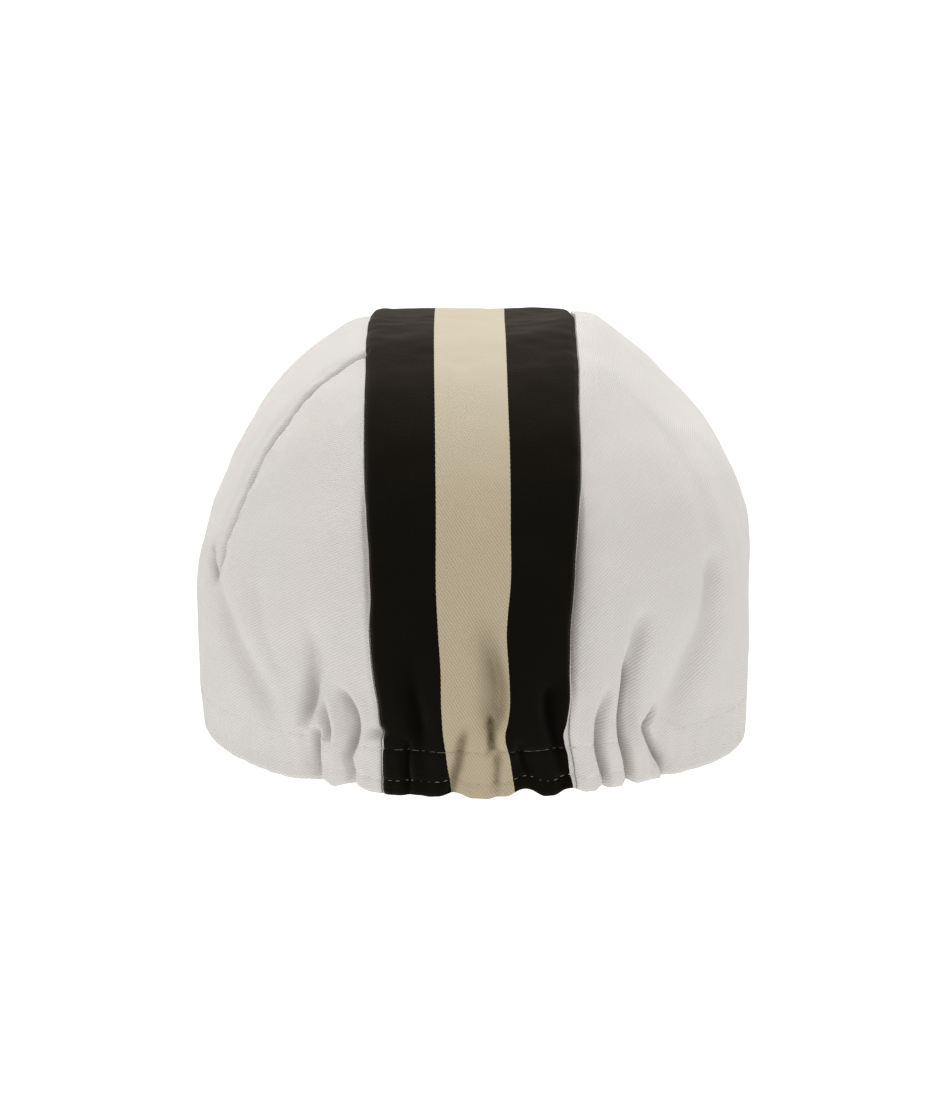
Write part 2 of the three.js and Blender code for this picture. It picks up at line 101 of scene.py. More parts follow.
# Folds of the cloth: name, half widths on the sides of smaller and larger turn and depth inward,
# all in millimetres, and route. A negative depth is a ridge. A route is read as turn and tilt in
# degrees and strength, from the top down: turn from the middle of the rear toward the wearer's
# right, tilt up from a point inside the crown. The points were picked in the photograph and
# worked out as degrees from there.
FOLDS = (
    ("left dart", 1.5, 0.55, 2.6, (
        (-46.5, 64, 0.6), (-48.5, 61.6, 0.9), (-50.3, 59.3, 1), (-54, 53.5, 1), (-56.4, 46, 1),
        (-58.4, 37.5, 1), (-58.9, 29.1, 1), (-60.4, 21, 1.1), (-61.3, 18.2, 1.5))),
    ("ridge outside the left dart", 4.5, 1.8, -0.35, (
        (-54.8, 66.2, 0.4), (-57.2, 60.6, 0.8), (-59.7, 54, 1), (-62.4, 46.8, 1), (-65.1, 37.9, 1),
        (-65.1, 29.1, 1), (-66.8, 22.3, 0.5))),
    ("dimple of the left dart", 2.8, 2, 3.4, (
        (-66.5, 21, 0.2), (-66.7, 19.8, 0.9), (-66.3, 18.7, 1), (-65, 17.1, 0.4))),
    ("valley below the left dart", 5, 7, 3.4, (
        (-63.3, 15.7, 0.6), (-60.8, 12.7, 0.9), (-57.6, 9.4, 1), (-54.8, 6, 1), (-51.9, 2.7, 1),
        (-49.3, -0.4, 1), (-46.1, -3, 0.9), (-43.1, -5.3, 0.6), (-39.7, -7.2, 0.1))),
    ("left crease", 3.2, 4.2, 1.5, (
        (-47.8, 19.5, 0.1), (-46.3, 16.5, 0.9), (-44.5, 13.1, 0.8), (-42.8, 8.1, 1),
        (-40.7, 4.3, 0.8), (-38.9, 0.7, 0.1))),
    ("left upright fold", 3, 4.4, 3.5, (
        (-32, 14.1, 0.1), (-31.7, 10.3, 0.55), (-31.5, 6.9, 0.9), (-31.8, 3.7, 1), (-32.7, 0.1, 0.85),
        (-33.3, -3.1, 0.6), (-34.1, -6.3, 0.2), (-34.6, -8.6, 0.1))),
    ("deep end of the left upright fold", 1.6, 2.2, 3, (
        (-32.1, 3.6, 0.2), (-32.6, 0.5, 0.7), (-33.2, -2.2, 1), (-33.9, -4.4, 1.1),
        (-34.4, -6.2, 0.7), (-34.8, -7.8, 0.1))),
    ("left pocket", 2.6, 1.5, 3.9, (
        (-30.2, -0.9, 0.2), (-29.7, -2.9, 0.7), (-29.3, -4.8, 1), (-28.8, -6.7, 1.1),
        (-28.9, -8.2, 1), (-28.9, -9.6, 0.2))),
    ("ridge between the left pocket and crescent", 1.5, 1.5, -0.9, (
        (-27.8, 0.2, 0.2), (-27.3, -2.6, 1), (-27.2, -6.8, 1), (-27.7, -10.7, 0.8),
        (-28, -15.5, 0.6))),
    ("left crescent", 1.8, 1.3, 4.1, (
        (-25.8, 1.4, 0.1), (-24.5, -0.1, 0.6), (-23.3, -1.8, 0.9), (-22.5, -3.7, 1),
        (-22.3, -5.7, 1.1), (-22.8, -8, 1.1), (-23.7, -10.1, 1.1), (-24.4, -11.7, 0.9),
        (-24.1, -13.6, 0.7), (-23.9, -15.4, 0.7), (-23.9, -17.6, 0.5))),
    ("hollow of the left crescent", 2.8, 2.2, 2.4, (
        (-25.6, 0.7, 0.1), (-24.8, -1.5, 0.7), (-24, -4.1, 1), (-24, -6.7, 1), (-24.8, -9.3, 0.3))),
    ("ridge beside the left crescent", 1.3, 2.4, -0.8, (
        (-22.9, 0.6, 0.3), (-21, -1.8, 1), (-20.4, -4.9, 1), (-20.9, -8.2, 1), (-22.5, -11.2, 0.8),
        (-21.8, -14, 0.6), (-21.5, -16.3, 0.4))),
    ("left hem pocket", 1.8, 1.2, 4.4, (
        (-31.5, -7, 0.1), (-31.7, -8.6, 0.8), (-31.9, -11.1, 1), (-32.1, -13.4, 0.6),
        (-32.1, -16.3, 0.3))),
    ("hollow of the left hem pocket", 3.2, 1.8, 2.4, (
        (-32.3, -10.5, 0.2), (-32.5, -12.9, 0.8), (-32.5, -15.2, 1), (-32.3, -17.8, 0.8))),
    ("left notch at the seam", 1.7, 1.7, 2.4, (
        (-20, -6, 0.1), (-19.1, -6.3, 0.6), (-18.3, -6.3, 1), (-17.5, -6.3, 1))),
    ("crease inside the right dart", 6, 3, 0.15, (
        (44.2, 58.6, 0.3), (46.5, 54, 0.8), (50.4, 48.1, 1), (52.5, 41.7, 1), (53.5, 35, 1),
        (53.5, 30.4, 1), (52.6, 26, 0.6))),
    ("ridge outside the right dart", 3.6, 8, -0.5, (
        (45.3, 61.8, 0.2), (50.5, 55.3, 0.7), (54.9, 48.7, 1), (56.8, 41.8, 1), (57, 34.9, 1),
        (57.1, 29.5, 0.8), (57.9, 24.5, 0.5), (60.3, 19.2, 0.2))),
    ("dimple of the right dart", 6, 4.2, 1.5, (
        (54.6, 23.9, 0.2), (54.6, 21.2, 0.8), (54.7, 18.8, 1), (53.7, 16.1, 0.4))),
    ("valley below the right dart", 7.6, 6.2, 3.4, (
        (53.4, 24.1, 0.2), (53.6, 19.5, 0.8), (53.2, 15.5, 1), (52.1, 11.3, 1), (50, 7.3, 1),
        (47.6, 3.5, 1), (44.9, -0.2, 0.9), (42.3, -3.5, 0.7), (39.5, -6.5, 0.3), (38.7, -8.8, 0.05))),
    ("right main fold", 3, 3.6, 4.1, (
        (33.3, 15.8, 0.1), (32.9, 12.9, 0.6), (32.1, 9.7, 0.95), (31.4, 6.9, 1), (30.7, 4.2, 0.95),
        (30.4, 1, 0.8), (30.2, -2, 0.7), (29.9, -5.2, 0.6), (30.3, -9.2, 0.35))),
    ("deep end of the right main fold", 1.25, 1.4, 5.2, (
        (30.2, 7.1, 0.1), (29.8, 4.9, 0.4), (29.7, 2.5, 0.8), (29.2, -0.1, 1), (28.8, -2.8, 1),
        (28.6, -5.5, 1), (28.8, -8, 1), (29.6, -10.7, 1), (30.2, -13.1, 1), (30.7, -15.8, 1),
        (30.7, -17.8, 0.8))),
    ("ridge left of the right main fold", 1.8, 1.1, -0.35, (
        (27, 2.4, 0.2), (26.9, -0.6, 0.8), (26.7, -3.2, 1), (26.7, -5.7, 1), (26.9, -8.6, 1),
        (27.7, -12.3, 1), (28.1, -15.6, 1))),
    ("right fold beside the panel", 1.3, 1.6, 4.2, (
        (25.3, 1.7, 0.1), (25, -0.4, 0.4), (24.3, -2.6, 0.65), (23.8, -4.7, 0.85), (23.6, -7.4, 1),
        (23.8, -10.1, 1.1), (24.5, -12.9, 1.1), (25.2, -15.6, 1.1), (25.5, -17.6, 0.8))),
    ("ridge beside the panel on the right", 2.2, 1.5, -0.6, (
        (21.4, -0.3, 0.2), (21, -4, 1), (21, -8.8, 1), (21.7, -14.6, 1))),
    ("right hem pocket", 0.95, 1.2, 3.9, (
        (36.5, -2.8, 0.1), (36.3, -4.7, 0.5), (35.2, -6.1, 1), (34.2, -7.4, 1.1), (34.9, -9.2, 1.1),
        (36.3, -11.2, 1), (37.6, -13.1, 0.9), (39, -15.1, 0.8), (39.7, -17.5, 0.5))),
    ("hollow of the right hem pocket", 1.5, 2.6, 2.6, (
        (36.9, -12, 0.2), (38.6, -14.1, 0.8), (39.9, -16.3, 1), (40.6, -18.1, 0.8))),
    ("ridge left of the right hem pocket", 2.6, 1.2, -0.9, (
        (32.4, -4.1, 0.2), (32.1, -7.1, 1), (33.7, -10.8, 1), (35.4, -15, 1))),
    ("swell above the right hem", 14, 14, -2.6, (
        (46, -17, 0.4), (58, -17, 1), (70, -17, 0.9), (84, -17, 0.2))),
    ("right shoulder", 8, 8, -2.4, (
        (48, 62, 0.2), (68, 68, 1), (90, 70, 1), (120, 67, 0.3))),
    ("flat below the right shoulder", 14, 14, 1.5, (
        (55, 46, 0.3), (70, 50, 1), (95, 51, 1), (120, 50, 0.3))),
    ("left shoulder", 7, 7, -0.9, (
        (-55, 64, 0.2), (-75, 68, 1), (-100, 69, 1), (-120, 67, 0.3))),
    ("flat outside the left dart", 15, 15, 1.1, (
        (-78, 40, 0.2), (-84, 32, 1), (-88, 23, 1), (-92, 15, 0.2))),
    ("bulge of the right side", 12, 12, -0.9, (
        (82, 32, 0.2), (88, 25, 1), (92, 18, 1), (96, 10, 0.2))),
    ("middle valley", 4.2, 3.2, 4.4, (
        (2.1, 17, 0.1), (2.3, 13.4, 0.5), (2.8, 9.9, 0.8), (3.2, 6.2, 1), (3.4, 2.6, 1),
        (3.2, -0.7, 1), (3, -3.2, 0.5))),
    ("dark side of the middle valley", 2.4, 1.3, 3.8, (
        (3.2, 10.9, 0.1), (4.2, 7.3, 0.7), (5, 4, 1), (5.2, 1.1, 1), (4.9, -1.5, 1), (4.2, -3.6, 0.6),
        (3.5, -5.6, 0.1))),
    ("middle pinch", 1.3, 1.2, 5, (
        (2.8, -1.8, 0.1), (2.9, -3.6, 0.8), (3.1, -5.6, 1), (3.1, -7.2, 1), (3.1, -8.5, 0.2))),
    ("middle hem crease", 1.7, 1.1, 3.2, (
        (3.5, -8.7, 0.2), (4.1, -10, 0.9), (4.1, -11.7, 0.8), (4, -13.8, 0.8), (4, -16.5, 0.4))),
    ("arc over the middle hem crease", 0.7, 0.7, 1.3, (
        (2, -9.4, 0.2), (2.4, -8.5, 0.9), (3.3, -8.2, 1), (4.1, -8.3, 1), (4.6, -9.1, 0.8),
        (4.8, -10.6, 0.3))),
    ("middle hem gather", 1.6, 1.4, 3.4, (
        (-1.5, -4.3, 0.2), (-2.2, -6.7, 0.9), (-2.6, -8.7, 1), (-3, -11.1, 1), (-3.7, -13.5, 1),
        (-4.2, -16.5, 0.8))),
    ("left stripe gather", 3.2, 3, 2, (
        (-12.1, 9.6, 0.1), (-11.6, 5.6, 0.4), (-11.3, 1.9, 0.8), (-10.6, -1.3, 1), (-10.1, -4.4, 1.1),
        (-9.9, -6.7, 0.8), (-10, -9.9, 0.5), (-9.9, -12.7, 0.1))),
    ("left stripe hem gather", 1.6, 1.5, 2, (
        (-12.5, -6.4, 0.1), (-12.4, -8.5, 0.9), (-12.4, -11.6, 1), (-12.3, -14.3, 1),
        (-12.2, -17, 0.7))),
    ("right stripe gather", 3.2, 2.7, 2.6, (
        (14.2, 3.6, 0.1), (13.7, 1.3, 0.8), (13.7, -1.5, 1), (14, -4.1, 1), (14.8, -6.8, 1),
        (15.4, -9.4, 0.9), (16.1, -12.5, 0.8), (16.7, -15.7, 0.6))),
    ("right stripe hem gather", 1.6, 1.6, 1.8, (
        (7.8, -6.7, 0.1), (8.3, -8.7, 0.9), (8.9, -11.2, 0.9), (9.7, -13.6, 0.6), (10.3, -16, 0.2))),
)
ROUTE_STEPS = 5
FOLD_REACH = 3
DARTS = {-1: "left dart", 1: "crease inside the right dart"}

# Where the elastic lifts the hem's edge: turn and spread in degrees, rise in millimetres.
RISES = (
    (-34.0, 4.5, 0.8),
    (-30.9, 2.0, 1.0),
    (-24.1, 4.6, 1.8),
    (-11, 3.5, 0.6),
    (-6.6, 2.4, 0.6),
    (-3.5, 3.2, 1.8),
    (4.6, 2.6, 0.8),
    (9.3, 3.8, 2.8),
    (18.0, 3.4, 1.6),
    (24.7, 1.8, 1.6),
    (30.9, 1.9, 1.4),
)


def ease(value, low, high):
    """0 below low, 1 above high and smooth between them."""
    share = np.clip((value - low) / (high - low), 0, 1)
    return share * share * (3 - 2 * share)


def smooth_table(table, at):
    """A smooth curve through a short table of places and values, read at an array of places."""
    places, values = np.array(table, float).T
    slopes = np.gradient(values, places)
    row = np.clip(np.searchsorted(places, at, side="right") - 1, 0, len(places) - 2)
    span = places[row + 1] - places[row]
    t = (at - places[row]) / span
    rise = values[row] + (values[row + 1] - values[row]) * t * t * (3 - 2 * t)
    return rise + t * (1 - t) ** 2 * span * slopes[row] + t * t * (t - 1) * span * slopes[row + 1]


def profile_radius(angle):
    """Reach of the crown's middle line from the rear hem (0) over the top to the front hem."""
    back = np.cos(angle) > 0
    reach = np.where(back, REAR_REACH, FRONT_REACH)
    power = np.where(back, ROUND_REAR, ROUND_FRONT)
    level = np.abs(np.cos(angle)) / reach
    rise = np.maximum(np.sin(angle), 0) / CROWN_HEIGHT
    return (level**power + rise**power) ** (-1 / power)


def side_power(angle):
    return ROUND_HEM + (ROUND_TOP - ROUND_HEM) * np.sin(angle) ** 2


def crown_point(angle, side):
    """A point of the unfolded crown, side 0 in the middle and a quarter turn at the ear."""
    power = side_power(angle)
    across, up = np.abs(np.sin(side)), np.abs(np.cos(side))
    share = (across**power + up**power) ** (-1 / power)
    radius = profile_radius(angle) * share * up
    height = radius * np.maximum(np.sin(angle), 0)
    return np.stack([HALF_WIDTH * share * np.sin(side), -radius * np.cos(angle), height], -1)


def crown_field(points):
    """1 on the unfolded crown and less inside it."""
    x, y, z = points[..., 0], points[..., 1], points[..., 2]
    angle = np.arctan2(np.maximum(z, 0), -y)
    power = side_power(angle)
    return (np.abs(x) / HALF_WIDTH) ** power + (np.hypot(y, z) / profile_radius(angle)) ** power


def crown_normal(points, reach=0.05):
    normal = np.empty_like(points)
    for axis in range(3):
        step = np.zeros(3)
        step[axis] = reach
        normal[..., axis] = crown_field(points + step) - crown_field(points - step)
    normal[..., 2] = np.where(points[..., 2] < reach, 0, normal[..., 2])
    return normal / np.linalg.norm(normal, axis=-1, keepdims=True)


def crown_at(turn, tilt, centre=FOLD_CENTRE):
    """The point of the unfolded crown seen at a turn and tilt from the axis at height centre."""
    turn, tilt = np.broadcast_arrays(np.radians(turn), np.radians(tilt))
    level = np.cos(tilt)
    ray = np.stack([np.sin(turn) * level, -np.cos(turn) * level, np.sin(tilt)], -1)
    inside = np.zeros(ray.shape)
    inside[..., 2] = centre
    near = np.zeros(turn.shape)
    far = np.full(turn.shape, 2 * (CROWN_HEIGHT + REAR_REACH))
    for _ in range(40):
        middle = (near + far) / 2
        within = crown_field(inside + ray * middle[..., None]) < 1
        near, far = np.where(within, middle, near), np.where(within, far, middle)
    return inside + ray * near[..., None]


def route_line(route):
    """Points on the crown along a fold's route, and the fold's strength at each."""
    knots = np.array(route, float)
    places = np.arange(len(knots))
    at = np.linspace(0, len(knots) - 1, ROUTE_STEPS * (len(knots) - 1) + 1)
    turn, tilt, strength = (
        smooth_table(np.stack([places, column], -1), at) for column in knots.T)
    return crown_at(turn, tilt), strength


def from_line(points, normals, line, strength):
    """Distance from a line on the crown, strength at the nearest place, and which side of it."""
    best = np.full(points.shape[:-1], np.inf)
    power = np.zeros_like(best)
    before = np.zeros(best.shape, bool)
    for step in range(len(line) - 1):
        way = line[step + 1] - line[step]
        away = points - line[step]
        t = np.clip(away @ way / (way @ way), 0, 1)
        away = away - t[..., None] * way
        distance = np.linalg.norm(away, axis=-1)
        nearer = distance < best
        best = np.where(nearer, distance, best)
        power = np.where(nearer, strength[step] + (strength[step + 1] - strength[step]) * t, power)
        side = (np.cross(away, way) * normals).sum(-1) > 0
        before = np.where(nearer, side, before)
    return best, power, before


fold_lines = {name: route_line(route) for name, *_, route in FOLDS}


def fold_depth(points, normals):
    """How far the folds carry the cloth inward, each worked out within a few of its half widths."""
    total = np.zeros(points.shape[:-1])
    for name, before, after, depth, _ in FOLDS:
        line, strength = fold_lines[name]
        reach = FOLD_REACH * max(before, after)
        inside = (points > line.min(0) - reach) & (points < line.max(0) + reach)
        near = inside.all(-1)
        distance, power, is_before = from_line(points[near], normals[near], line, strength)
        width = np.where(is_before, before, after)
        total[near] += depth * power * np.exp(-((distance / width) ** 2))
    return total


def ripple(points, size, seed, waves=14):
    """Smooth waves between about -1 and 1, size millimetres long, in directions of their own."""
    dice = np.random.default_rng(seed)
    total = np.zeros(points.shape[:-1])
    for _ in range(waves):
        way = dice.normal(size=3)
        way *= 2 * math.pi / size * dice.uniform(0.6, 1.4) / np.linalg.norm(way)
        total += np.cos(points @ way + dice.uniform(0, 2 * math.pi))
    return total / math.sqrt(waves)


def turn_of(points):
    return np.degrees(np.arctan2(points[..., 0], -points[..., 1]))


def gathering(points):
    """Small upright puckers that the elastic makes along the rear hem."""
    turn = turn_of(points)
    behind = 1 - ease(np.abs(turn), 38, 80)
    height = points[..., 2]
    fade = np.exp(-((np.maximum(height - HEM_DEPTH * 0.6, 0) / 9) ** 2))
    stretched = points * np.array([1, 1, 0.22])
    return 0.5 * behind * fade * ripple(stretched, 9, 11)


# Heights of the lower and the upper row of hem stitches.
HEM_ROWS = (4.8, 14.9)


def stitch_pull(points):
    """How far the two rows of hem stitches draw the cloth in."""
    height = points[..., 2]
    rows = sum(np.exp(-(((height - row) / 0.8) ** 2)) for row in HEM_ROWS)
    return rows * (0.04 + 0.34 * (1 - ease(np.abs(turn_of(points)), 17, 34)))


def relief(points, normals):
    """The cloth's whole relief over the unfolded crown, outward."""
    drape = 0.45 * ripple(points, 46, 5) + 0.16 * ripple(points, 17, 6)
    low = 1 - np.exp(-points[..., 2] / 12)
    return drape * low + gathering(points) - stitch_pull(points) - fold_depth(points, normals)


def hem_rise(points):
    turn = turn_of(points)
    share = np.zeros(turn.shape)
    for centre, spread, rise in RISES:
        off = np.clip(np.abs(turn - centre) / spread, 0, 1)
        share += rise * (1 - off * off) ** 2
    return np.where(points[..., 1] < 0, share * (1 - ease(points[..., 2], 0, HEM_DEPTH)), 0)


def settled(points):
    """The finished crown without its relief: swollen, tucked in at the hem and lifted in front."""
    x, y, z = points[..., 0], points[..., 1], points[..., 2]
    share = z / CROWN_HEIGHT
    width = np.ones(x.shape)
    for side, height, spread, swell in SWELLINGS:
        width += np.where(np.sign(x) == side, swell * np.exp(-(((share - height) / spread) ** 2)), 0)
    behind = ease(-y, 0, REAR_REACH / 2)
    low = np.exp(-((z / HEM_DEPTH) ** 2))
    off = (share - REAR_SWELL["height"]) / REAR_SWELL["spread"]
    swell = REAR_SWELL["swell"] * np.exp(-off * off)
    tuck = np.where(x < 0, REAR_TUCK["left"], REAR_TUCK["right"])
    across = x * (width - low * (SIDE_TUCK + (tuck - SIDE_TUCK) * behind))
    along = y * (1 + behind * (swell - low * REAR_TUCK["middle"]))
    lift = FRONT_LIFT * ease(y, LIFT_START, FRONT_REACH)
    up = lift + z * (CROWN_HEIGHT - lift) / CROWN_HEIGHT + hem_rise(points)
    return np.stack([across, along, up], -1)


def layers(points, proud=0.0, thickness=CLOTH):
    """Outer and inner face of the cloth over a grid of unfolded points."""
    normals = crown_normal(points)
    outward = relief(points, normals) + proud
    place = settled(points)
    outer = place + normals * outward[..., None]
    return outer, outer - normals * thickness


def seam_x(angle, side):
    return smooth_table(LEFT_SEAM if side < 0 else RIGHT_SEAM, angle / math.pi)


def side_grid(side, columns, rows):
    """Unfolded points of a side panel, from the rear seam to the front one and from the hem up.

    The grid is a rectangle bent into a half disc, with even rows along the hem and with columns
    that lie closer behind, where the folds are.
    """
    forward = np.linspace(0, 1, columns + 1)
    u = (2 * forward * (0.55 + 0.45 * forward) - 1)[None, :]
    v = (np.linspace(0, 1, rows + 1) ** 1.3)[:, None]
    even = 0.42 + 0.58 * u * u
    row = v * (even + (1 - even) * v)
    level = u * np.sqrt(1 - row * row / 2)
    rise = row * np.sqrt(1 - u * u / 2)
    angle = np.arctan2(rise, -level)
    seam = seam_x(angle, side) + SEAM_GAP
    power = side_power(angle)
    share = (1 - (seam / HALF_WIDTH) ** power) ** (1 / power)
    seam_angle = np.arctan2(seam / HALF_WIDTH, share)
    spread = np.hypot(level, rise)
    out = math.pi / 2 + (seam_angle - math.pi / 2) * spread
    from_seam = (out - seam_angle) * profile_radius(angle)
    return crown_point(angle, side * out), from_seam


def edge_roll(distance, width, depth):
    """The cloth rolls inward to a seam or to an edge turned under."""
    return -depth * np.exp(-((distance / width) ** 2))


def hem_roll(points):
    return edge_roll(points[..., 2], 0.8, 0.7)


# Run of the ribs round a side panel: degrees from the middle of the rear, and how far sideways the
# flat cloth goes up to there, in millimetres.
RIB_RUNS = {
    -1: ((0, 0), (60, 51), (180, 153)),
    1: ((0, 0), (30, 40), (45, 56), (57, 66), (90, 82), (180, 130)),
}


def weave_map(points, side):
    """Where a point of a side panel lay on the flat cloth, whose ribs rise at 45 degrees."""
    x, y, z = points[..., 0], points[..., 1], points[..., 2]
    level = np.hypot(x * REAR_REACH / HALF_WIDTH, y)
    rise = CROWN_HEIGHT * np.arctan2(z / CROWN_HEIGHT, level / REAR_REACH)
    sideways = side * smooth_table(RIB_RUNS[side], np.abs(turn_of(points)))
    return np.stack([sideways, rise, np.zeros(x.shape)], -1)


def in_frame(points):
    """Millimetres about the crown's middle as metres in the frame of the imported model."""
    return points * MILLIMETRE + np.array(CROWN_MIDDLE)


def new_object(name, data):
    made = bpy.data.objects.new(name, data)
    bpy.context.scene.collection.objects.link(made)
    return made


def cloth_object(name, outer, inner, attributes, ring=False):
    """A closed wall between two grids of points, with attributes given over the same grid."""
    rows, columns = outer.shape[:2]
    count = rows * columns
    at = np.arange(2 * count).reshape(2, rows, columns)
    if ring:
        at = np.concatenate([at, at[:, :1]], axis=1)
    here, right = at[:, :-1, :-1], at[:, :-1, 1:]
    above, over = at[:, 1:, :-1], at[:, 1:, 1:]
    faces = [
        np.stack([here[0], above[0], over[0], right[0]], -1).reshape(-1, 4),
        np.stack([here[1], right[1], over[1], above[1]], -1).reshape(-1, 4),
    ]
    edges = [(at[0, :, 0], at[1, :, 0]), (at[1, :, -1], at[0, :, -1])]
    if not ring:
        edges += [(at[1, 0, :], at[0, 0, :]), (at[0, -1, :], at[1, -1, :])]
    for near, far in edges:
        faces.append(np.stack([near[:-1], far[:-1], far[1:], near[1:]], -1))
    quads = np.concatenate(faces)
    points = np.concatenate([outer.reshape(-1, 3), inner.reshape(-1, 3)])
    corner = points[quads]
    volume = (np.cross(corner[:, 0], corner[:, 1]) * corner[:, 2]).sum()
    volume += (np.cross(corner[:, 0], corner[:, 2]) * corner[:, 3]).sum()
    if volume < 0:
        quads = quads[:, ::-1]
    mesh = bpy.data.meshes.new(name)
    mesh.vertices.add(len(points))
    mesh.loops.add(quads.size)
    mesh.polygons.add(len(quads))
    mesh.vertices.foreach_set("co", in_frame(points).astype(np.float32).ravel())
    mesh.loops.foreach_set("vertex_index", np.ascontiguousarray(quads, np.int32).ravel())
    mesh.polygons.foreach_set("loop_start", np.arange(0, quads.size, 4, dtype=np.int32))
    mesh.update(calc_edges=True)
    mesh.polygons.foreach_set("use_smooth", np.ones(len(quads), bool))
    mesh.set_sharp_from_angle(angle=math.radians(55))
    attributes = dict(attributes, inside=np.zeros((rows, columns)))
    for key, values in attributes.items():
        vector = values.ndim == 3
        both = np.concatenate([values.reshape(count, -1)] * 2)
        if key == "inside":
            both[count:] = 1
        layer = mesh.attributes.new(key, "FLOAT_VECTOR" if vector else "FLOAT", "POINT")
        layer.data.foreach_set("vector" if vector else "value", both.astype(np.float32).ravel())
    return new_object(name, mesh)


class Value:
    """A shader socket that can stand in an expression."""

    def __init__(self, tree, socket):
        self.tree = tree
        self.socket = socket

    def node(self, kind, inputs, settings=None, output=0):
        """Adds any node, with its settings first and then the values or links of its sockets."""
        made = self.tree.nodes.new(kind)
        for key, value in (settings or {}).items():
            setattr(made, key, value)
        for key, value in inputs.items():
            if isinstance(value, Value):
                self.tree.links.new(value.socket, made.inputs[key])
            else:
                made.inputs[key].default_value = value
        return Value(self.tree, made.outputs[output])

    def math(self, operation, first, second=0.0):
        return self.node("ShaderNodeMath", {0: first, 1: second}, {"operation": operation})

    def __add__(self, other):
        return self.math("ADD", self, other)

    __radd__ = __add__

    def __sub__(self, other):
        return self.math("SUBTRACT", self, other)

    def __rsub__(self, other):
        return self.math("SUBTRACT", other, self)

    def __mul__(self, other):
        return self.math("MULTIPLY", self, other)

    __rmul__ = __mul__

    def __gt__(self, other):
        return self.math("GREATER_THAN", self, other)

    def mixed(self, first, second):
        """A colour from first, where this is 0, to second, where it is 1."""
        settings = {"data_type": "RGBA"}
        return self.node("ShaderNodeMix", {0: self, 6: first, 7: second}, settings, output=2)


def new_material(name):
    """An empty cloth material, its shader and a value to start expressions from."""
    material = bpy.data.materials.new(name)
    material.use_nodes = True
    tree = material.node_tree
    shader = tree.nodes["Principled BSDF"]
    start = Value(tree, tree.nodes.new("ShaderNodeTexCoord").outputs["Object"])
    return material, shader, start


def linear(colour):
    """A colour given as 0 to 255, as the shader wants it."""
    channels = np.array(colour) / 255
    curved = ((channels + 0.055) / 1.055) ** 2.4
    return (*np.where(channels <= 0.04045, channels / 12.92, curved), 1.0)


def carried(start, name):
    """A number that the piece carries at each of its points."""
    return start.node("ShaderNodeAttribute", {}, {"attribute_name": name}, output="Fac")


def noise(place, scale, detail):
    """Soft noise between 0 and 1."""
    sockets = {"Vector": place, "Scale": scale, "Detail": detail}
    return place.node("ShaderNodeTexNoise", sockets, output="Fac")


def twill_weave(start, direction, pitch=0.8, yarn_share=0.4):
    """Diagonal ribs of twill, 0 in the groove and 1 on the rib, from the piece's own weave map."""
    weave = start.node("ShaderNodeAttribute", {}, {"attribute_name": "weave"}, output="Vector")
    angle = math.radians(direction)
    across = (-math.sin(angle) / pitch, math.cos(angle) / pitch, 0)
    along = (math.cos(angle) / pitch, math.sin(angle) / pitch, 0)
    dot = {"operation": "DOT_PRODUCT"}
    uneven = noise(weave, 0.25, 2.0)
    ribs = start.node("ShaderNodeVectorMath", {0: weave, 1: across}, dot, output="Value")
    yarns = start.node("ShaderNodeVectorMath", {0: weave, 1: along}, dot, output="Value")
    tau = 2 * math.pi
    rib = start.math("SINE", (ribs + uneven * 0.9) * tau) * 0.5 + 0.5
    yarn = start.math("SINE", (yarns + uneven * 0.7) * tau) * 0.5 + 0.5
    return weave, rib * (1 - yarn_share) + yarn * yarn_share


def cloth_finish(material_parts, weave_parts, colour, darkest, roughness, bump, plainness=0.0):
    """Sets a cloth's colour, roughness and relief from its weave, which plainness takes away."""
    material, shader, start = material_parts
    weave, ribs = weave_parts
    speck = noise(weave, 1.1, 3.0)
    patch = noise(weave, 0.045, 2.0)
    drawn = 1 - plainness
    shade = (1 - ribs) * drawn * darkest + (0.5 - speck) * 0.06 + (0.5 - patch) * 0.07
    final = shade.mixed(colour, (0.0, 0.0, 0.0, 1.0))
    tree = material.node_tree
    tree.links.new(final.socket, shader.inputs["Base Color"])
    height = (ribs * 0.8 + speck * 0.5) * drawn
    relief_node = start.node(
        "ShaderNodeBump", {"Height": height, "Strength": bump, "Distance": 0.0002}, output="Normal")
    tree.links.new(relief_node.socket, shader.inputs["Normal"])
    shader.inputs["Roughness"].default_value = roughness
    shader.inputs["Specular IOR Level"].default_value = 0.25
    shader.inputs["Sheen Weight"].default_value = 0.15
    shader.inputs["Sheen Roughness"].default_value = 0.6
    return material


WHITE_CLOTH = (202, 198, 193)


def crease_shade(start, distance_name, share_name, soft, crisp):
    """Shade in a sewn crease: soft on the side where distance is positive and crisp on the other."""
    distance = carried(start, distance_name)
    share = carried(start, share_name)
    outside = start.math("MAXIMUM", distance, 0.0)
    inside = start.math("MINIMUM", distance, 0.0)
    line = start.math("EXPONENT", distance * distance * (-1 / crisp**2))
    shade = start.math("EXPONENT", outside * (-1 / soft) + inside * (4 / crisp))
    return (line * 0.42 + shade * 0.22) * share


